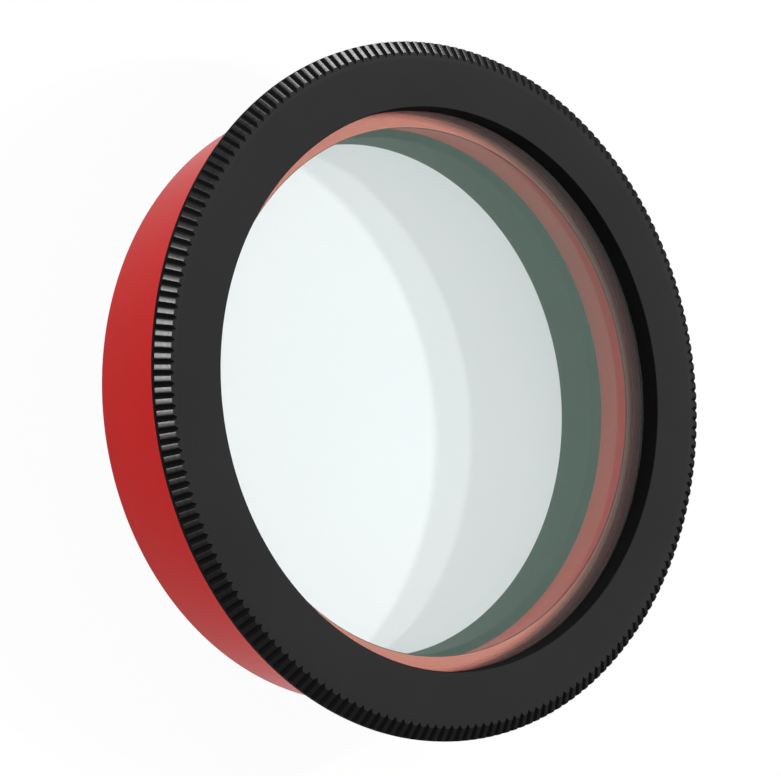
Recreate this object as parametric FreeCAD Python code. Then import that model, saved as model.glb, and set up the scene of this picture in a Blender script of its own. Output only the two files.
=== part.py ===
import FreeCAD, Part
import math
import os

# Clear filter for an action camera, lying on its rear rim with the glass facing up.
# Lengths are millimetres. The origin is the centre of the rear rim, and +Z is the optical axis.

# Overall height, from the rear rim to the front face
total_depth = 9.4

# Glass disc, which sets the size of everything round it
glass_diameter = 33.2
glass_thickness = 1.1
glass_edge_break = 0.12

# Front ring: a knurled flange, a lip over the glass and a threaded spigot round it
lip_overlap = 0.5
lip_thickness = 1.2
lip_edge_break = 0.08
spigot_wall = 0.55
spigot_end_gap = 0.1
flange_thickness = 0.85
flange_overhang = 2.15
face_chamfer_width = 0.45
face_chamfer_depth = 0.04
rim_bevel_width = 0.72
rim_bevel_depth = 0.46

# Straight knurl over the bevel, which leaves a plain edge at the rear of the rim
knurl_pitch = 0.61
knurl_land_width = 0.27
knurl_groove_depth = 0.2
rim_overrun = 0.05

# Barrel: a turned tube with a ledge for the glass and a socket for the lens
thread_wall = 0.6
ledge_width = 1.4
light_path_length = 2.7
light_path_flare = 0.45
socket_depth = 1.1
socket_step = 0.2
socket_lead_in = 0.3
barrel_rear_bevel = 0.3

# Seal sleeve: a soft ring that grips the lens
sleeve_lip = 0.45
sleeve_lip_bevel = 0.45
sleeve_wall = 1.1
sleeve_taper_width = 0.1
sleeve_taper_length = 0.4

# Clearances, each on the radius
glass_clearance = 0.05
thread_clearance = 0.05
sleeve_clearance = 0.03

# Heights of the faces that meet
front_z = total_depth
flange_rear_z = front_z - flange_thickness
glass_front_z = front_z - lip_thickness
ledge_z = glass_front_z - glass_thickness
sleeve_front_z = ledge_z - light_path_length
sleeve_rear_z = socket_depth

# Radii, from the glass outwards
glass_radius = glass_diameter / 2
glass_pocket_radius = glass_radius + glass_clearance
spigot_radius = glass_pocket_radius + spigot_wall
thread_seat_radius = spigot_radius + thread_clearance
barrel_radius = thread_seat_radius + thread_wall
ring_radius = barrel_radius + flange_overhang

# Radii, from the glass inwards and then out to the socket
lip_radius = glass_radius - lip_overlap
ledge_radius = glass_radius - ledge_width
light_path_rear_radius = ledge_radius + light_path_flare
sleeve_bore_radius = light_path_rear_radius - sleeve_lip
sleeve_pocket_radius = sleeve_bore_radius + sleeve_wall
socket_radius = sleeve_pocket_radius + socket_step


def turned(outline):
    """Revolve a closed outline of (radius, height) points about the optical axis."""
    points = [FreeCAD.Vector(radius, 0, height) for radius, height in outline]
    face = Part.Face(Part.makePolygon(points + points[:1]))
    return face.revolve(FreeCAD.Vector(0, 0, 0), FreeCAD.Vector(0, 0, 1), 360)


def flat_face(corners):
    """Make the flat face inside a closed loop of corners."""
    return Part.Face(Part.makePolygon(corners + corners[:1]))


def rim_corners(radius, height, groove_share=0):
    """Give the corners round the rim at a height: both edges of each land and the groove beside it."""
    count = round(2 * math.pi * ring_radius / knurl_pitch)
    half_turn = math.pi / count
    half_land = knurl_land_width / 2 / ring_radius
    corners = []
    for tooth in range(count):
        middle = 2 * half_turn * tooth
        tooth_points = [
            (radius, middle - half_land),
            (radius, middle + half_land),
            (radius * (1 - groove_share), middle + half_turn),
        ]
        for reach, angle in tooth_points:
            corners.append(FreeCAD.Vector(reach * math.cos(angle), reach * math.sin(angle), height))
    return corners


def rim_cone(edge_radius, edge_z, width, depth, groove_share=0):
    """Build the faceted cone through an edge, from the rear plane to above the face.

    It comes in by the width over the depth, so that a width of 0 gives an upright edge.
    """
    slope = width / depth
    top_z = front_z + rim_overrun
    lower = rim_corners(edge_radius + edge_z * slope, 0, groove_share)
    upper = rim_corners(edge_radius - (top_z - edge_z) * slope, top_z, groove_share)
    faces = [flat_face(lower), flat_face(upper)]
    for number in range(len(lower)):
        faces.append(flat_face([lower[number - 1], lower[number], upper[number], upper[number - 1]]))
    return Part.Solid(Part.Shell(faces))


def front_ring():
    """Turn the lip and spigot, then face the rim: its plain edge, the chamfer and the knurled bevel."""
    spigot_end = ledge_z + spigot_end_gap
    blank = turned([
        (lip_radius, glass_front_z),
        (glass_pocket_radius, glass_front_z),
        (glass_pocket_radius, spigot_end),
        (spigot_radius, spigot_end),
        (spigot_radius, flange_rear_z),
        (ring_radius + rim_overrun, flange_rear_z),
        (ring_radius + rim_overrun, front_z),
        (lip_radius + lip_edge_break, front_z),
        (lip_radius, front_z - lip_edge_break),
    ])
    bevel_radius = ring_radius - rim_bevel_width
    chamfer_z = front_z - face_chamfer_depth
    groove_share = knurl_groove_depth / ring_radius
    edge = rim_cone(ring_radius, 0, 0, front_z)
    chamfer = rim_cone(bevel_radius, chamfer_z, face_chamfer_width, face_chamfer_depth)
    knurl = rim_cone(bevel_radius, chamfer_z, rim_bevel_width, rim_bevel_depth, groove_share)
    return blank.common(edge).common(chamfer).common(knurl)


def filter_glass():
    """Turn the glass disc with its ground edges."""
    flat_radius = glass_radius - glass_edge_break
    return turned([
        (0, ledge_z),
        (flat_radius, ledge_z),
        (glass_radius, ledge_z + glass_edge_break),
        (glass_radius, glass_front_z - glass_edge_break),
        (flat_radius, glass_front_z),
        (0, glass_front_z),
    ])


def barrel():
    """Turn the tube: thread seat, ledge, light path, sleeve pocket and lens socket."""
    return turned([
        (barrel_radius - barrel_rear_bevel, 0),
        (barrel_radius, barrel_rear_bevel),
        (barrel_radius, flange_rear_z),
        (thread_seat_radius, flange_rear_z),
        (thread_seat_radius, ledge_z),
        (ledge_radius, ledge_z),
        (light_path_rear_radius, sleeve_front_z),
        (sleeve_pocket_radius, sleeve_front_z),
        (sleeve_pocket_radius, sleeve_rear_z),
        (socket_radius, sleeve_rear_z),
        (socket_radius, socket_lead_in),
        (socket_radius + socket_lead_in, 0),
    ])


def seal_sleeve():
    """Turn the soft sleeve, bevelled to the light path in front and tapered for the lens behind."""
    outside = sleeve_pocket_radius - sleeve_clearance
    return turned([
        (sleeve_bore_radius + sleeve_taper_width, sleeve_rear_z),
        (outside, sleeve_rear_z),
        (outside, sleeve_front_z),
        (light_path_rear_radius, sleeve_front_z),
        (sleeve_bore_radius, sleeve_front_z - sleeve_lip_bevel),
        (sleeve_bore_radius, sleeve_rear_z + sleeve_taper_length),
    ])


pieces = {
    "front_ring": front_ring(),
    "filter_glass": filter_glass(),
    "barrel": barrel(),
    "seal_sleeve": seal_sleeve(),
}

os.makedirs("parts", exist_ok=True)
for name, shape in pieces.items():
    shape.exportStep(os.path.join("parts", name + ".step"))
    print(name, len(shape.Solids), shape.isValid(), round(shape.Volume, 2))
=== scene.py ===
"""Dress the clear filter of an action camera: knurled black ring, coated glass, red tube, soft sleeve."""
import logging
import math
from dataclasses import dataclass
from enum import Enum, IntEnum
from typing import Callable

import bpy
import numpy as np
from mathutils import Euler, Matrix, Vector


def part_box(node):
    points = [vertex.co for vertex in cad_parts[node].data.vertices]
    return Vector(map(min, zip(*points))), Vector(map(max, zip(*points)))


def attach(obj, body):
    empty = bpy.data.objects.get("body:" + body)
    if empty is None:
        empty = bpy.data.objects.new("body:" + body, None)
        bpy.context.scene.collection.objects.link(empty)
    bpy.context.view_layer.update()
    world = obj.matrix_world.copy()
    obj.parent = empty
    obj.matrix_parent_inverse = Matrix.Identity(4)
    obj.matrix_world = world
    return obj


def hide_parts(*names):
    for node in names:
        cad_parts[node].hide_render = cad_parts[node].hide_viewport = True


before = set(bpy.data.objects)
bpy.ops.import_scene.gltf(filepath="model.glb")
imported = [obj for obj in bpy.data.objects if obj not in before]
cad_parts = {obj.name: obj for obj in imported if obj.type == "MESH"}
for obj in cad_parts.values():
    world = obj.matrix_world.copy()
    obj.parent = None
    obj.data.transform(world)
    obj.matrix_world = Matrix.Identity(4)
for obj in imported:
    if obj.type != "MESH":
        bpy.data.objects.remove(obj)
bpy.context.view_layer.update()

BODY = "root"
MM = 0.001
MERGE_DISTANCE = 0.0005 * MM
SAME_PLACE = 0.002 * MM
FULL_TURN = 2 * math.pi
CREASE_DEG = 30.0
FINE_CREASE_DEG = 20.0

Color = tuple[float, float, float]
WHITE = (1, 1, 1, 1)

log = logging.getLogger("filter")


class Slot(Enum):
    """The record's material slots."""

    BLACK = "black_anodised"
    GLASS = "coated_glass"
    RED = "red_anodised"
    RUBBER = "black_rubber"


class RingZone(IntEnum):
    """The ring's finishes, in the order of its material slots."""

    SATIN = 0
    MATT = 1


class GlassZone(IntEnum):
    """The glass disc's finishes, in the order of its material slots."""

    POLISHED = 0
    GROUND = 1


class TubeZone(IntEnum):
    """The tube's finishes, in the order of its material slots."""

    OUTSIDE = 0
    INSIDE = 1
    LEDGE = 2
    LEDGE_EDGE = 3


class Rays(Enum):
    """The kinds of ray that see the white surroundings in place of the working light."""

    CAMERA = "Is Camera Ray"
    GLOSSY = "Is Glossy Ray"
    TRANSMISSION = "Is Transmission Ray"


class LampWork(Enum):
    """What a lamp is there for: light on the solid pieces and the paper, or a shine on the knurl."""

    LIGHT = "light"
    SHINE = "shine"


def clear_selection() -> None:
    """Go to object mode and deselect everything."""
    if bpy.context.mode != "OBJECT":
        bpy.ops.object.mode_set(mode="OBJECT")
    bpy.ops.object.select_all(action="DESELECT")


def edit(piece: bpy.types.Object) -> None:
    """Make a piece the only selected one and open it in edit mode, picking by vertex.

    Args:
        piece: The mesh piece to open.
    """
    clear_selection()
    piece.select_set(True)
    bpy.context.view_layer.objects.active = piece
    bpy.ops.object.mode_set(mode="EDIT")
    bpy.ops.mesh.select_mode(type="VERT")


def pick_vertices(piece: bpy.types.Object, wanted: Callable[[np.ndarray], np.ndarray]) -> None:
    """Select in edit mode the vertices whose places pass a test.

    Args:
        piece: The mesh piece to select on.
        wanted: Takes the places as rows of X, Y and Z, and says of each whether it is selected.
    """
    edit(piece)
    bpy.ops.mesh.select_all(action="DESELECT")
    bpy.ops.object.mode_set(mode="OBJECT")
    places = np.empty(3 * len(piece.data.vertices))
    piece.data.vertices.foreach_get("co", places)
    piece.data.vertices.foreach_set("select", wanted(places.reshape(-1, 3)))
    bpy.ops.object.mode_set(mode="EDIT")


def near(places: np.ndarray, radius: float, height: float) -> np.ndarray:
    """Say which places lie on the circle of a radius at a height.

    Args:
        places: Rows of X, Y and Z.
        radius: The circle's distance from the optical axis.
        height: The circle's height above the rear rim.

    Returns:
        One truth value for each row.
    """
    off_radius = np.hypot(places[:, 0], places[:, 1]) - radius
    return np.hypot(off_radius, places[:, 2] - height) < SAME_PLACE


def finish_mesh(piece: bpy.types.Object, crease_deg: float) -> None:
    """Merge doubled vertices, turn the faces outwards and smooth all but the sharp edges.

    Args:
        piece: The mesh piece to finish.
        crease_deg: Edges that turn by more than this stay sharp.
    """
    edit(piece)
    bpy.ops.mesh.select_all(action="SELECT")
    bpy.ops.mesh.remove_doubles(threshold=MERGE_DISTANCE)
    bpy.ops.mesh.normals_make_consistent(inside=False)
    bpy.ops.object.mode_set(mode="OBJECT")
    bpy.ops.object.shade_smooth_by_angle(angle=math.radians(crease_deg))


@dataclass(frozen=True)
class Corner:
    """One corner of a turned outline.

    Attributes:
        radius: Distance from the optical axis.
        height: Height above the rear rim.
        rounding: How far along its edges the corner is rounded off.
    """

    radius: float
    height: float
    rounding: float = 0.0


@dataclass(frozen=True)
class Turning:
    """A piece turned on the lathe: an outline drawn in edit mode, then spun about the optical axis."""

    name: str
    outline: tuple[Corner, ...]
    steps: int
    rounding_segments: int = 4

    def build(self) -> bpy.types.Object:
        """Draw the outline, round its corners and spin it into a closed mesh.

        Returns:
            The turned piece.
        """
        piece = self._draw()
        for rounding in sorted({corner.rounding for corner in self.outline} - {0.0}):
            self._round(piece, rounding)
        edit(piece)
        bpy.ops.mesh.select_all(action="SELECT")
        bpy.ops.mesh.spin(steps=self.steps, angle=FULL_TURN, center=(0, 0, 0), axis=(0, 0, 1))
        finish_mesh(piece, CREASE_DEG)
        return piece

    def _draw(self) -> bpy.types.Object:
        """Shrink a plane to one vertex and extrude it from corner to corner, back to the start.

        Returns:
            The closed outline.
        """
        clear_selection()
        bpy.ops.mesh.primitive_plane_add(size=MM)
        piece = bpy.context.object
        piece.name = piece.data.name = self.name
        edit(piece)
        bpy.ops.mesh.select_all(action="SELECT")
        bpy.ops.mesh.merge(type="CENTER")
        place = Vector((0, 0, 0))
        for number, corner in enumerate(self.outline + self.outline[:1]):
            target = Vector((corner.radius, 0, corner.height))
            if number == 0:
                bpy.ops.transform.translate(value=target - place)
            else:
                bpy.ops.mesh.extrude_vertices_move(TRANSFORM_OT_translate={"value": target - place})
            place = target
        bpy.ops.mesh.select_all(action="SELECT")
        bpy.ops.mesh.remove_doubles(threshold=MERGE_DISTANCE)
        return piece

    def _round(self, piece: bpy.types.Object, rounding: float) -> None:
        """Bevel the outline's corners that have this rounding.

        Args:
            piece: The drawn outline.
            rounding: The rounding to apply.
        """
        corners = [corner for corner in self.outline if corner.rounding == rounding]
        pick_vertices(piece, lambda places: np.any(
            [near(places, corner.radius, corner.height) for corner in corners], axis=0
        ))
        bpy.ops.mesh.bevel(
            offset=rounding, segments=self.rounding_segments, affect="VERTICES", clamp_overlap=False
        )


class NodeBench:
    """Places and joins the nodes of one node tree."""

    def __init__(self, tree: bpy.types.NodeTree) -> None:
        """Keep the tree and empty it."""
        self.tree = tree
        tree.nodes.clear()

    def add(self, kind: str, inputs: dict | None = None, **settings: object) -> bpy.types.Node:
        """Add a node with its settings, and set or link its inputs.

        Args:
            kind: The node's type name.
            inputs: Socket name or number to a constant, or to an output socket that feeds it.
            settings: Attributes of the node itself.

        Returns:
            The new node.
        """
        node = self.tree.nodes.new(kind)
        for name, value in settings.items():
            setattr(node, name, value)
        for key, value in (inputs or {}).items():
            if isinstance(value, bpy.types.NodeSocket):
                self.tree.links.new(value, node.inputs[key])
            else:
                node.inputs[key].default_value = value
        return node

    def math(self, operation: str, *values: object) -> bpy.types.NodeSocket:
        """Add a Math node on constants or sockets and return its result."""
        inputs = dict(enumerate(values))
        return self.add("ShaderNodeMath", inputs, operation=operation).outputs[0]

    def spread(self, value: bpy.types.NodeSocket, limits: tuple[float, float]) -> bpy.types.NodeSocket:
        """Add a node that stretches the values between two limits over 0 to 1 and return its result."""
        inputs = {"Value": value, "From Min": limits[0], "From Max": limits[1]}
        return self.add("ShaderNodeMapRange", inputs).outputs[0]


def new_group(name: str, inputs: dict[str, float], outputs: tuple[str, ...]) -> bpy.types.NodeTree:
    """Start a shader node group with named value sockets.

    Args:
        name: The group's name.
        inputs: Input names with their default values.
        outputs: Output names.

    Returns:
        The empty group.
    """
    group = bpy.data.node_groups.new(name, "ShaderNodeTree")
    for label, default in inputs.items():
        socket = group.interface.new_socket(name=label, in_out="INPUT", socket_type="NodeSocketFloat")
        socket.default_value = default
    for label in outputs:
        group.interface.new_socket(name=label, in_out="OUTPUT", socket_type="NodeSocketFloat")
    return group


@dataclass
class SurfaceGroups:
    """The shared surface effects, each built once as a node group."""

    lines_per_metre: float = 9000.0
    line_detail: float = 2.0
    grains_per_metre: float = 12000.0
    grain_detail: float = 3.0
    grain_roughness: float = 0.6
    marks_per_metre: float = 140.0
    mark_detail: float = 4.0
    mark_roughness: float = 0.55
    fine_limits: tuple[float, float] = (0.3, 0.7)
    mark_limits: tuple[float, float] = (0.35, 0.65)

    def __post_init__(self) -> None:
        """Build both groups."""
        self.turning = self._turning_marks()
        self.grain = self._blasted_grain()

    def _turning_marks(self) -> bpy.types.NodeTree:
        """Build the fine rings that a lathe tool leaves.

        Returns:
            The group, which puts out a height and a mask.
        """
        label = "Lines per metre"
        group = new_group("Turning marks", {label: self.lines_per_metre}, ("Height", "Mask"))
        bench = NodeBench(group)
        given = bench.add("NodeGroupInput").outputs
        spot = bench.add("ShaderNodeTexCoord").outputs["Object"]
        parts = bench.add("ShaderNodeSeparateXYZ", {0: spot}).outputs
        across = bench.math("SQRT", bench.math(
            "ADD", bench.math("MULTIPLY", parts[0], parts[0]), bench.math("MULTIPLY", parts[1], parts[1])
        ))
        along = bench.math("ADD", across, parts[2])
        lines = bench.add(
            "ShaderNodeTexNoise",
            {"W": bench.math("MULTIPLY", along, given[label]), "Scale": 1.0, "Detail": self.line_detail},
            noise_dimensions="1D",
        ).outputs[0]
        mask = bench.spread(lines, self.fine_limits)
        bench.add("NodeGroupOutput", {"Height": lines, "Mask": mask})
        return group

    def _blasted_grain(self) -> bpy.types.NodeTree:
        """Build the fine even grain of blasted metal, and the broad marks of handling.

        Returns:
            The group, which puts out the grain's height and mask, and a mask of the handling.
        """
        label = "Grains per metre"
        group = new_group("Blasted grain", {label: self.grains_per_metre}, ("Height", "Mask", "Handling"))
        bench = NodeBench(group)
        given = bench.add("NodeGroupInput").outputs
        spot = bench.add("ShaderNodeTexCoord").outputs["Object"]
        fine = bench.add("ShaderNodeTexNoise", {
            "Vector": spot, "Scale": given[label],
            "Detail": self.grain_detail, "Roughness": self.grain_roughness,
        }).outputs[0]
        broad = bench.add("ShaderNodeTexNoise", {
            "Vector": spot, "Scale": self.marks_per_metre,
            "Detail": self.mark_detail, "Roughness": self.mark_roughness,
        }).outputs[0]
        mask = bench.spread(fine, self.fine_limits)
        handling = bench.spread(broad, self.mark_limits)
        bench.add("NodeGroupOutput", {"Height": fine, "Mask": mask, "Handling": handling})
        return group


@dataclass(frozen=True)
class TurnedFinish:
    """An opaque turned surface: its colour, a satin gloss, fine grain and turning marks."""

    name: str
    color: Color
    light_color: Color
    roughness: tuple[float, float]
    metallic: float = 0.0
    specular: float = 0.5
    grain_depth: float = 0.002 * MM
    turning_depth: float = 0.0015 * MM
    bump_strength: float = 0.5
    grain_share: float = 0.5

    def material(self, groups: SurfaceGroups) -> bpy.types.Material:
        """Make the material.

        Args:
            groups: The shared surface effects.

        Returns:
            The finished material.
        """
        material = bpy.data.materials.new(self.name)
        material.use_nodes = True
        bench = NodeBench(material.node_tree)
        grain = bench.add("ShaderNodeGroup", node_tree=groups.grain).outputs
        turning = bench.add("ShaderNodeGroup", node_tree=groups.turning).outputs
        tone = bench.math("MULTIPLY_ADD", grain["Handling"], 1 - self.grain_share, bench.math(
            "MULTIPLY", grain["Mask"], self.grain_share
        ))
        color = bench.add(
            "ShaderNodeMix", {"Factor": tone, "A": (*self.color, 1), "B": (*self.light_color, 1)},
            data_type="RGBA",
        ).outputs["Result"]
        low, high = self.roughness
        roughness = bench.add(
            "ShaderNodeMapRange", {"Value": turning["Mask"], "To Min": low, "To Max": high}
        ).outputs[0]
        rings = bench.add("ShaderNodeBump", {
            "Height": turning["Height"], "Strength": self.bump_strength, "Distance": self.turning_depth,
        }).outputs[0]
        bumps = bench.add("ShaderNodeBump", {
            "Height": grain["Height"], "Strength": self.bump_strength, "Distance": self.grain_depth,
            "Normal": rings,
        }).outputs[0]
        shader = bench.add("ShaderNodeBsdfPrincipled", {
            "Base Color": color, "Roughness": roughness, "Normal": bumps,
            "Metallic": self.metallic, "Specular IOR Level": self.specular,
        })
        bench.add("ShaderNodeOutputMaterial", {"Surface": shader.outputs[0]})
        return material


@dataclass(frozen=True)
class GlassFinish:
    """Polished filter glass with a faint green coating."""

    name: str
    color: Color
    coating_tint: Color
    clearness: float = 0.90
    ior: float = 1.52
    film_per_metre: float = 90.0
    film_detail: float = 3.0
    film_start: float = 0.45
    film_roughness: float = 0.02

    def material(self) -> bpy.types.Material:
        """Make the glass, with the slightest unevenness in its polish.

        Returns:
            The finished material.
        """
        material = bpy.data.materials.new(self.name)
        material.use_nodes = True
        bench = NodeBench(material.node_tree)
        spot = bench.add("ShaderNodeTexCoord").outputs["Object"]
        film = bench.add("ShaderNodeTexNoise", {
            "Vector": spot, "Scale": self.film_per_metre, "Detail": self.film_detail,
        }).outputs[0]
        roughness = bench.add("ShaderNodeMapRange", {
            "Value": film, "From Min": self.film_start, "To Min": 0.0, "To Max": self.film_roughness,
        }).outputs[0]
        shader = bench.add("ShaderNodeBsdfPrincipled", {
            "Base Color": (*self.color, 1), "Roughness": roughness, "IOR": self.ior,
            "Transmission Weight": self.clearness, "Specular Tint": (*self.coating_tint, 1),
        })
        bench.add("ShaderNodeOutputMaterial", {"Surface": shader.outputs[0]})
        return material


@dataclass(frozen=True)
class FloorFinish:
    """White paper that keeps the object's shadow but shows as white."""

    name: str
    color: Color
    white_to_camera: float
    white_in_object: float
    level_in_object: float
    level_to_camera: float = 1.0

    def material(self) -> bpy.types.Material:
        """Make the paper: seen directly, in metal or through glass, a share of it is plain white.

        Returns:
            The finished material.
        """
        material = bpy.data.materials.new(self.name)
        material.use_nodes = True
        bench = NodeBench(material.node_tree)
        paths = bench.add("ShaderNodeLightPath").outputs
        in_object = bench.math("MAXIMUM", paths[Rays.GLOSSY.value], paths[Rays.TRANSMISSION.value])
        share = bench.math(
            "MAXIMUM", bench.math("MULTIPLY", paths[Rays.CAMERA.value], self.white_to_camera),
            bench.math("MULTIPLY", in_object, self.white_in_object),
        )
        level = bench.add("ShaderNodeMix", {
            "Factor": in_object, "A": self.level_to_camera, "B": self.level_in_object,
        }).outputs["Result"]
        paper = bench.add("ShaderNodeBsdfDiffuse", {"Color": (*self.color, 1)})
        white = bench.add("ShaderNodeEmission", {"Color": WHITE, "Strength": level})
        mixed = bench.add("ShaderNodeMixShader", {0: share, 1: paper.outputs[0], 2: white.outputs[0]})
        bench.add("ShaderNodeOutputMaterial", {"Surface": mixed.outputs[0]})
        return material


class Finishes:
    """Every finish on the filter and the paper's, made once."""

    def __init__(self) -> None:
        """Build the shared groups and the materials."""
        groups = SurfaceGroups()
        self.black = TurnedFinish(
            "Satin black anodising", color=(0.004, 0.004, 0.0045), light_color=(0.008, 0.008, 0.0085),
            roughness=(0.28, 0.36), specular=0.36, turning_depth=0.0006 * MM,
        ).material(groups)
        self.flat_black = TurnedFinish(
            "Flat black bore", color=(0.002, 0.002, 0.002), light_color=(0.004, 0.0035, 0.0035),
            roughness=(0.7, 0.85), specular=0.08,
        ).material(groups)
        self.red = TurnedFinish(
            "Satin red anodising", color=(0.54, 0.003, 0.002), light_color=(0.60, 0.005, 0.004),
            roughness=(0.24, 0.27), specular=0.08, turning_depth=0.0001 * MM,
        ).material(groups)
        # The inside's red is lighter than the outside's: painted light that makes up for the shade inside
        # the tube. Its rougher turned gloss is real.
        self.inner_red_with_painted_light = TurnedFinish(
            "Turned red anodising with painted light", color=(0.62, 0.014, 0.011), light_color=(0.68, 0.020, 0.016),
            roughness=(0.45, 0.55), specular=0.1,
        ).material(groups)
        # The ledge's red is lightened towards pink: a painted sheen standing in for the lamps' highlight
        # on the ledge.
        self.ledge_red_painted_sheen = TurnedFinish(
            "Red ledge lightened as painted sheen", color=(0.98, 0.22, 0.155), light_color=(1.0, 0.26, 0.185),
            roughness=(0.25, 0.28), metallic=0.85, grain_depth=0.0003 * MM, turning_depth=0.00005 * MM,
        ).material(groups)
        # The rounding under the ledge's inner edge is darkened: a painted shade line between the ledge
        # and the wall.
        self.edge_red_painted_shade = TurnedFinish(
            "Dark red edge as painted shade", color=(0.06, 0.004, 0.003), light_color=(0.08, 0.006, 0.005),
            roughness=(0.6, 0.7), specular=0.08,
        ).material(groups)
        self.rubber = TurnedFinish(
            "Smooth black rubber", color=(0.004, 0.010, 0.007), light_color=(0.006, 0.014, 0.010),
            roughness=(0.55, 0.65), specular=0.12,
        ).material(groups)
        self.ground_edge = TurnedFinish(
            "Ground glass edge", color=(0.02, 0.02, 0.02), light_color=(0.03, 0.03, 0.03),
            roughness=(0.75, 0.85), specular=0.1,
        ).material(groups)
        self.glass = GlassFinish(
            "Coated filter glass", color=(0.90, 0.985, 0.985), coating_tint=(0.45, 1.0, 0.67)
        ).material()
        self.paper = FloorFinish(
            "White paper", color=(0.92, 0.92, 0.92),
            white_to_camera=0.96, white_in_object=0.4, level_in_object=1.72,
        ).material()


@dataclass(frozen=True)
class Levels:
    """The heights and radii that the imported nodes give."""

    front: float
    flange_rear: float
    glass_front: float
    ledge: float
    spigot_end: float
    sleeve_front: float
    sleeve_rear: float
    ring_radius: float
    barrel_radius: float
    glass_radius: float
    sleeve_radius: float

    @classmethod
    def from_frame(cls) -> "Levels":
        """Read the nodes' boxes.

        Returns:
            The levels of this pack.
        """
        ring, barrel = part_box("front_ring"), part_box("barrel")
        glass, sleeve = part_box("filter_glass"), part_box("seal_sleeve")
        return cls(
            front=ring[1][2], flange_rear=barrel[1][2], glass_front=glass[1][2], ledge=glass[0][2],
            spigot_end=ring[0][2], sleeve_front=sleeve[1][2], sleeve_rear=sleeve[0][2],
            ring_radius=ring[1][0], barrel_radius=barrel[1][0], glass_radius=glass[1][0],
            sleeve_radius=sleeve[1][0],
        )


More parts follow.
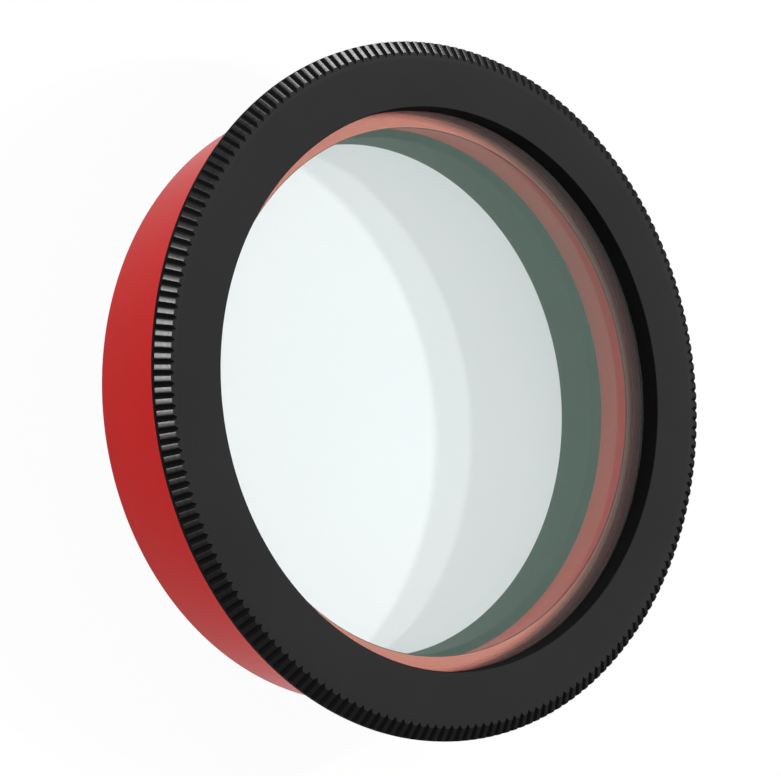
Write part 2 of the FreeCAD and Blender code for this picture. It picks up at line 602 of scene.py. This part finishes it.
@dataclass
class FrontRing:
    """The black ring: flat face, bevelled and knurled rim, lip over the glass and threaded spigot."""

    levels: Levels
    lip_overlap: float = 0.5 * MM
    pocket_gap: float = 0.05 * MM
    spigot_wall: float = 0.55 * MM
    chamfer_width: float = 0.45 * MM
    chamfer_depth: float = 0.04 * MM
    bevel_width: float = 0.72 * MM
    bevel_depth: float = 0.46 * MM
    rear_bevel: float = 0.06 * MM
    groove_depth: float = 0.2 * MM
    knurl_pitch: float = 0.61 * MM
    steps_per_tooth: int = 11
    groove_steps: int = 3
    groove_lean: float = 0.3
    land_crown: float = 0.012 * MM
    edge_break: float = 0.08 * MM

    def build(self) -> bpy.types.Object:
        """Turn the ring and press the knurl into its bevel.

        Returns:
            The ring.
        """
        piece = Turning("knurled_ring", self._outline(), self._teeth() * self.steps_per_tooth).build()
        self._knurl(piece)
        finish_mesh(piece, FINE_CREASE_DEG)
        pick_vertices(piece, lambda places: near(places, self._face_radius(), self.levels.front))
        bpy.ops.mesh.mark_sharp()
        clear_selection()
        return piece

    def dress(self, piece: bpy.types.Object, finishes: Finishes) -> None:
        """Give the ring its satin finish, its matt bore, edge and grooves, and its place in the frame.

        Args:
            piece: The ring.
            finishes: Every finish.
        """
        piece.data.materials.append(finishes.black)
        piece.data.materials.append(finishes.flat_black)
        bore = self.levels.glass_radius - self.lip_overlap + self.edge_break / 2
        edge = self.levels.ring_radius - self.rear_bevel
        for face in piece.data.polygons:
            across = Vector(face.center.xy)
            sideways = abs(face.normal.xy.cross(across.normalized()))
            matt = not bore < across.length < edge or sideways > self.groove_lean
            face.material_index = RingZone.MATT if matt else RingZone.SATIN
        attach(piece, BODY)
        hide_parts("front_ring")

    def _teeth(self) -> int:
        """Count the teeth that fit round the rim."""
        return round(FULL_TURN * self.levels.ring_radius / self.knurl_pitch)

    def _bevel_radius(self) -> float:
        """Give the radius at which the knurled bevel starts."""
        return self.levels.ring_radius - self.bevel_width

    def _face_radius(self) -> float:
        """Give the radius at which the flat face ends."""
        return self._bevel_radius() - self.chamfer_width

    def _outline(self) -> tuple[Corner, ...]:
        """Draw the ring's section.

        Returns:
            The corners, from the lip outwards and round.
        """
        at = self.levels
        lip = at.glass_radius - self.lip_overlap
        pocket = at.glass_radius + self.pocket_gap
        spigot = pocket + self.spigot_wall
        chamfer_end = at.front - self.chamfer_depth
        return (
            Corner(lip, at.glass_front),
            Corner(pocket, at.glass_front),
            Corner(pocket, at.spigot_end),
            Corner(spigot, at.spigot_end),
            Corner(spigot, at.flange_rear),
            Corner(at.ring_radius - self.rear_bevel, at.flange_rear),
            Corner(at.ring_radius, at.flange_rear + self.rear_bevel),
            Corner(at.ring_radius, chamfer_end - self.bevel_depth),
            Corner(self._bevel_radius(), chamfer_end),
            Corner(self._face_radius(), at.front),
            Corner(lip, at.front, self.edge_break),
        )

    def _knurl(self, piece: bpy.types.Object) -> None:
        """Press the grooves in: lower the bevel's outer edge down the rim, and notch its inner edge.

        Args:
            piece: The turned ring, which is left turned by half a tooth to meet the solid's teeth.
        """
        at = self.levels
        chamfer_end = at.front - self.chamfer_depth
        chamfer_slope = self.chamfer_depth / self.chamfer_width
        bevel_slope = self.bevel_depth / self.bevel_width
        depths = [self.groove_depth * (1 - step / self.groove_steps) for step in range(self.groove_steps)]
        for step, depth in enumerate([*depths, self.land_crown]):
            pick_vertices(piece, lambda places: (
                near(places, at.ring_radius, chamfer_end - self.bevel_depth)
                & (self._groove_steps(places) == step)
            ))
            bpy.ops.transform.translate(value=(0, 0, -depth * bevel_slope))
            pick_vertices(piece, lambda places: (
                near(places, self._bevel_radius(), chamfer_end) & (self._groove_steps(places) == step)
            ))
            notch = depth * bevel_slope / (bevel_slope - chamfer_slope)
            shrink = 1 - notch / self._bevel_radius()
            bpy.ops.transform.resize(value=(shrink, shrink, 1), center_override=(0, 0, 0))
            bpy.ops.transform.translate(value=(0, 0, notch * chamfer_slope))
        bpy.ops.mesh.select_all(action="SELECT")
        bpy.ops.transform.rotate(
            value=math.pi / self._teeth(), orient_axis="Z", center_override=(0, 0, 0)
        )

    def _groove_steps(self, places: np.ndarray) -> np.ndarray:
        """Count the steps from each place to the middle of the nearest groove.

        Args:
            places: Rows of X, Y and Z.

        Returns:
            One count for each row.
        """
        turn = FULL_TURN / self._teeth() / self.steps_per_tooth
        steps = np.rint(np.arctan2(places[:, 1], places[:, 0]) / turn).astype(int) % self.steps_per_tooth
        return np.minimum(steps, self.steps_per_tooth - steps)


@dataclass
class FilterGlass:
    """The glass disc with its ground edges."""

    levels: Levels
    edge_break: float = 0.12 * MM
    edge_segments: int = 2
    seat_gap: float = 0.02 * MM
    segments: int = 256

    def build(self) -> bpy.types.Object:
        """Add a disc and bevel its two edges.

        Returns:
            The glass.
        """
        at = self.levels
        thickness = at.glass_front - at.ledge - 2 * self.seat_gap
        clear_selection()
        bpy.ops.mesh.primitive_cylinder_add(
            vertices=self.segments, radius=at.glass_radius, depth=thickness,
            location=(0, 0, (at.ledge + at.glass_front) / 2),
        )
        piece = bpy.context.object
        piece.name = piece.data.name = "glass_disc"
        bpy.ops.object.transform_apply(location=True, rotation=True, scale=True)
        edit(piece)
        bpy.ops.mesh.select_mode(type="EDGE")
        bpy.ops.mesh.select_all(action="DESELECT")
        bpy.ops.object.mode_set(mode="OBJECT")
        for line in piece.data.edges:
            ends = [piece.data.vertices[end].co for end in line.vertices]
            line.select = abs(ends[0].z - ends[1].z) < SAME_PLACE
        bpy.ops.object.mode_set(mode="EDIT")
        bpy.ops.mesh.bevel(offset=self.edge_break, segments=self.edge_segments, affect="EDGES")
        finish_mesh(piece, FINE_CREASE_DEG)
        return piece

    def dress(self, piece: bpy.types.Object, finishes: Finishes) -> None:
        """Give the glass its polish, its ground edge and its place, and let lamps shine through it.

        Args:
            piece: The glass.
            finishes: Every finish.
        """
        piece.data.materials.append(finishes.glass)
        piece.data.materials.append(finishes.ground_edge)
        polished = self.levels.glass_radius - self.edge_break
        for face in piece.data.polygons:
            at_edge = math.hypot(face.center.x, face.center.y) > polished
            face.material_index = GlassZone.GROUND if at_edge else GlassZone.POLISHED
        piece.visible_shadow = False
        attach(piece, BODY)
        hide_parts("filter_glass")


@dataclass
class Barrel:
    """The red tube: smooth outside, ledge and light path inside, threaded socket behind."""

    levels: Levels
    thread_wall: float = 0.6 * MM
    ledge_width: float = 1.4 * MM
    light_path_flare: float = 0.45 * MM
    sleeve_gap: float = 0.03 * MM
    socket_step: float = 0.2 * MM
    socket_lead_in: float = 0.3 * MM
    rear_bevel: float = 0.3 * MM
    edge_break: float = 0.06 * MM
    thread_pitch: float = 0.27 * MM
    thread_height: float = 0.11 * MM
    thread_turns: int = 2
    steps: int = 384

    def build(self) -> bpy.types.Object:
        """Turn the tube and wind the thread into its socket.

        Returns:
            The tube with its thread.
        """
        tube = Turning("red_tube", self._outline(), self.steps).build()
        thread = self._thread()
        clear_selection()
        thread.select_set(True)
        tube.select_set(True)
        bpy.context.view_layer.objects.active = tube
        bpy.ops.object.join()
        return tube

    def dress(self, piece: bpy.types.Object, finishes: Finishes) -> None:
        """Give the tube its satin outside, its turned inside lightened as painted light, its ledge
        lightened as painted sheen, the ledge's edge darkened as painted shade, and its place in the
        frame.

        Args:
            piece: The tube.
            finishes: Every finish.
        """
        for finish in (finishes.red, finishes.inner_red_with_painted_light, finishes.ledge_red_painted_sheen, finishes.edge_red_painted_shade):
            piece.data.materials.append(finish)
        for face in piece.data.polygons:
            face.material_index = self._zone(face.center)
        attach(piece, BODY)
        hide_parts("barrel")

    def _zone(self, place: Vector) -> TubeZone:
        """Say which finish a place on the tube has.

        Args:
            place: A point on the tube.

        Returns:
            The zone that it lies in.
        """
        below_ledge = self.levels.ledge - place.z
        if math.hypot(place.x, place.y) > self.levels.barrel_radius - self.thread_wall / 2:
            return TubeZone.OUTSIDE
        # The ledge's top takes the painted sheen.
        if abs(below_ledge) < SAME_PLACE:
            return TubeZone.LEDGE
        # The rounding just under the ledge takes the painted shade.
        if 0 < below_ledge < self.edge_break:
            return TubeZone.LEDGE_EDGE
        # The rest of the inside takes the lightened red, painted light.
        return TubeZone.INSIDE

    def _outline(self) -> tuple[Corner, ...]:
        """Draw the tube's section.

        Returns:
            The corners, from the rear rim up the outside and down the inside.
        """
        at = self.levels
        pocket = at.sleeve_radius + self.sleeve_gap
        socket = self._socket_radius()
        ledge = at.glass_radius - self.ledge_width
        return (
            Corner(at.barrel_radius - self.rear_bevel, 0, self.edge_break),
            Corner(at.barrel_radius, self.rear_bevel, self.edge_break),
            Corner(at.barrel_radius, at.flange_rear),
            Corner(at.barrel_radius - self.thread_wall, at.flange_rear),
            Corner(at.barrel_radius - self.thread_wall, at.ledge),
            Corner(ledge, at.ledge, self.edge_break),
            Corner(ledge + self.light_path_flare, at.sleeve_front),
            Corner(pocket, at.sleeve_front),
            Corner(pocket, at.sleeve_rear),
            Corner(socket, at.sleeve_rear),
            Corner(socket, self.socket_lead_in),
            Corner(socket + self.socket_lead_in, 0, self.edge_break),
        )

    def _socket_radius(self) -> float:
        """Give the radius of the lens socket's wall."""
        return self.levels.sleeve_radius + self.sleeve_gap + self.socket_step

    def _thread(self) -> bpy.types.Object:
        """Draw the thread's tooth as a triangle that points inwards and wind it up the socket's wall.

        Returns:
            The thread.
        """
        clear_selection()
        bpy.ops.mesh.primitive_circle_add(
            vertices=3, radius=self.thread_height, rotation=(math.pi / 2, -math.pi / 2, 0),
            location=(self._socket_radius(), 0, self.socket_lead_in + self.thread_height),
        )
        thread = bpy.context.object
        thread.name = thread.data.name = "socket_thread"
        bpy.ops.object.transform_apply(location=True, rotation=True, scale=True)
        winding = thread.modifiers.new("Winding", "SCREW")
        winding.axis = "Z"
        winding.angle = FULL_TURN
        winding.screw_offset = self.thread_pitch
        winding.iterations = self.thread_turns
        winding.steps = winding.render_steps = self.steps
        bpy.ops.object.modifier_apply(modifier=winding.name)
        edit(thread)
        bpy.ops.mesh.select_all(action="SELECT")
        bpy.ops.mesh.fill_holes(sides=3)
        finish_mesh(thread, CREASE_DEG)
        return thread


@dataclass
class SealSleeve:
    """The black soft ring inside the tube."""

    levels: Levels
    wall: float = 1.07 * MM
    lip: float = 0.45 * MM
    lip_bevel: float = 0.45 * MM
    taper_width: float = 0.1 * MM
    taper_length: float = 0.4 * MM
    edge_break: float = 0.1 * MM
    steps: int = 384

    def build(self) -> bpy.types.Object:
        """Turn the sleeve with its soft edges."""
        return Turning("soft_sleeve", self._outline(), self.steps).build()

    def dress(self, piece: bpy.types.Object, finishes: Finishes) -> None:
        """Give the sleeve its finish and its place in the frame.

        Args:
            piece: The sleeve.
            finishes: Every finish.
        """
        piece.data.materials.append(finishes.rubber)
        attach(piece, BODY)
        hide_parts("seal_sleeve")

    def _outline(self) -> tuple[Corner, ...]:
        """Draw the sleeve's section.

        Returns:
            The corners, from the rear edge round.
        """
        at = self.levels
        bore = at.sleeve_radius - self.wall
        return (
            Corner(bore + self.taper_width, at.sleeve_rear, self.edge_break),
            Corner(at.sleeve_radius, at.sleeve_rear, self.edge_break),
            Corner(at.sleeve_radius, at.sleeve_front),
            Corner(bore + self.lip, at.sleeve_front),
            Corner(bore, at.sleeve_front - self.lip_bevel, self.edge_break),
            Corner(bore, at.sleeve_rear + self.taper_length, self.edge_break),
        )


@dataclass(frozen=True)
class PhotoCamera:
    """The photograph's camera, by where the middle of the front face shows in its frame."""

    image_width: int = 781
    image_height: int = 776
    focal_px: float = 2500.0
    front_centre_px: tuple[float, float] = (454.6, 387.2)
    distance: float = 142.34 * MM
    elevation_deg: float = 51.07
    roll_deg: float = 81.69
    sensor_mm: float = 36.0

    def build(self, front: float) -> None:
        """Add the camera and make it the scene's own.

        Args:
            front: Height of the front face.
        """
        lens = bpy.data.cameras.new("Photo camera")
        lens.sensor_width = self.sensor_mm
        lens.lens = self.sensor_mm * self.focal_px / self.image_width
        lens.clip_start = MM
        camera = bpy.data.objects.new("Photo camera", lens)
        bpy.context.scene.collection.objects.link(camera)
        tilt = Euler((math.radians(90 - self.elevation_deg), 0, 0)).to_matrix()
        turn = tilt @ Matrix.Rotation(math.radians(self.roll_deg), 3, "Z")
        across = (self.front_centre_px[0] - self.image_width / 2) / self.focal_px
        down = (self.front_centre_px[1] - self.image_height / 2) / self.focal_px
        seen = Vector((across, -down, -1)) * self.distance
        camera.matrix_world = Matrix.Translation(Vector((0, 0, front)) - turn @ seen) @ turn.to_4x4()
        bpy.context.scene.camera = camera


@dataclass(frozen=True)
class Lamp:
    """One soft lamp, placed by its direction from the object."""

    name: str
    work: LampWork
    azimuth_deg: float
    elevation_deg: float
    distance: float
    size: float
    watts: float

    def build(self, takers: bpy.types.Collection) -> None:
        """Add the lamp, aimed at the object.

        Args:
            takers: The pieces that the lamp reaches, without the glass, so that no lamp clouds it.
        """
        light = bpy.data.lights.new(self.name, "AREA")
        light.shape = "DISK"
        light.size = self.size
        light.energy = self.watts
        lamp = bpy.data.objects.new(self.name, light)
        bpy.context.scene.collection.objects.link(lamp)
        turn, rise = math.radians(self.azimuth_deg), math.radians(self.elevation_deg)
        away = Vector((math.sin(turn) * math.cos(rise), -math.cos(turn) * math.cos(rise), math.sin(rise)))
        lamp.location = away * self.distance
        lamp.rotation_euler = away.to_track_quat("Z", "Y").to_euler()
        lamp.visible_glossy = self.work is LampWork.SHINE
        lamp.visible_diffuse = self.work is LampWork.LIGHT
        lamp.visible_transmission = False
        lamp.light_linking.receiver_collection = takers


@dataclass
class Studio:
    """White paper, soft lamps and a pale room round the object."""

    lamps: tuple[Lamp, ...]
    floor_length: float = 76 * MM
    floor_width: float = 68 * MM
    floor_forward: float = 8 * MM
    floor_drop: float = 0.02 * MM
    room_level: float = 0.5
    shown_level: float = 1.0
    dim_gloss: float = 0.1
    bright_gloss: float = 0.7
    bright_side: tuple[float, float, float] = (0.0, 0.5, 0.866)
    bright_within_deg: tuple[float, float] = (30.0, 60.0)

    def build(self, finishes: Finishes, solids: list[bpy.types.Object], shiny: bpy.types.Object) -> None:
        """Lay the paper, hang the lamps and colour the room.

        Args:
            finishes: Every finish, for the paper's.
            solids: The pieces that are not clear.
            shiny: The piece that the shine is for.
        """
        paper = self._paper()
        paper.data.materials.append(finishes.paper)
        takers = {
            LampWork.LIGHT: self._takers("Lit pieces", [*solids, paper]),
            LampWork.SHINE: self._takers("Shining pieces", [shiny]),
        }
        for lamp in self.lamps:
            lamp.build(takers[lamp.work])
        self._room()

    def _paper(self) -> bpy.types.Object:
        """Lay the paper under the object, reaching further out towards the camera.

        Returns:
            The paper.
        """
        clear_selection()
        bpy.ops.mesh.primitive_plane_add(size=self.floor_length)
        paper = bpy.context.object
        paper.name = paper.data.name = "paper"
        edit(paper)
        bpy.ops.mesh.select_all(action="SELECT")
        bpy.ops.transform.resize(
            value=(self.floor_width / self.floor_length, 1, 1), center_override=(0, 0, 0)
        )
        bpy.ops.transform.translate(value=(0, -self.floor_forward, -self.floor_drop))
        clear_selection()
        return paper

    def _takers(self, name: str, pieces: list[bpy.types.Object]) -> bpy.types.Collection:
        """Gather the pieces that a kind of lamp reaches.

        Args:
            name: The collection's name.
            pieces: What goes into it.

        Returns:
            The collection.
        """
        takers = bpy.data.collections.new(name)
        for piece in pieces:
            takers.objects.link(piece)
        return takers

    def _room(self) -> None:
        """Light the object at a plain level, show white behind it and give the gloss a brighter side."""
        world = bpy.data.worlds.new("Pale room")
        bpy.context.scene.world = world
        # Sampled as a lamp, the room would put its plain level into the gloss too.
        world.cycles.sampling_method = "NONE"
        world.use_nodes = True
        bench = NodeBench(world.node_tree)
        paths = bench.add("ShaderNodeLightPath").outputs
        way = bench.add("ShaderNodeTexCoord").outputs["Generated"]
        side = bench.add(
            "ShaderNodeVectorMath", {0: way, 1: self.bright_side}, operation="DOT_PRODUCT"
        ).outputs["Value"]
        inner, outer = (math.cos(math.radians(angle)) for angle in self.bright_within_deg)
        gloss = bench.add("ShaderNodeMapRange", {
            "Value": side, "From Min": outer, "From Max": inner,
            "To Min": self.dim_gloss, "To Max": self.bright_gloss,
        }, interpolation_type="SMOOTHSTEP").outputs[0]
        level = bench.add("ShaderNodeMix", {
            "Factor": paths[Rays.GLOSSY.value], "A": self.room_level, "B": gloss,
        }).outputs["Result"]
        # Light that a matt surface gathers through the glass keeps the room's plain level.
        first_hand = bench.math("LESS_THAN", paths["Diffuse Depth"], 1)
        seen = bench.math("MULTIPLY", first_hand, bench.math(
            "MAXIMUM", paths[Rays.CAMERA.value], paths[Rays.TRANSMISSION.value]
        ))
        level = bench.add(
            "ShaderNodeMix", {"Factor": seen, "A": level, "B": self.shown_level}
        ).outputs["Result"]
        sky = bench.add("ShaderNodeBackground", {"Color": WHITE, "Strength": level})
        bench.add("ShaderNodeOutputWorld", {"Surface": sky.outputs[0]})


LAMPS = (
    Lamp(
        "High key lamp", LampWork.LIGHT, azimuth_deg=180.0, elevation_deg=50.0,
        distance=250 * MM, size=8 * MM, watts=0.17,
    ),
    Lamp(
        "Low key lamp", LampWork.LIGHT, azimuth_deg=180.0, elevation_deg=41.3,
        distance=250 * MM, size=8 * MM, watts=0.31,
    ),
    Lamp(
        "Upper fill", LampWork.LIGHT, azimuth_deg=-60.0, elevation_deg=18.0,
        distance=250 * MM, size=120 * MM, watts=0.245,
    ),
    Lamp(
        "Lower fill", LampWork.LIGHT, azimuth_deg=60.0, elevation_deg=18.0,
        distance=250 * MM, size=120 * MM, watts=0.085,
    ),
    Lamp(
        "Left shine", LampWork.SHINE, azimuth_deg=-30.5, elevation_deg=62.0,
        distance=300 * MM, size=100 * MM, watts=1.0,
    ),
    Lamp(
        "Top shine", LampWork.SHINE, azimuth_deg=-123.0, elevation_deg=25.0,
        distance=300 * MM, size=120 * MM, watts=0.8,
    ),
)


def main() -> None:
    """Build the filter piece by piece, then its studio and camera."""
    logging.basicConfig(level=logging.INFO, format="%(name)s: %(message)s")
    bpy.context.scene.view_settings.view_transform = "Standard"
    levels = Levels.from_frame()
    finishes = Finishes()
    pieces = []
    for assembly in (FrontRing(levels), FilterGlass(levels), Barrel(levels), SealSleeve(levels)):
        piece = assembly.build()
        assembly.dress(piece, finishes)
        pieces.append(piece)
        log.info("%s: %d faces", piece.name, len(piece.data.polygons))
    ring, _, tube, sleeve = pieces
    Studio(LAMPS).build(finishes, [ring, tube, sleeve], ring)
    PhotoCamera().build(levels.front)


if __name__ == "__main__":
    main()
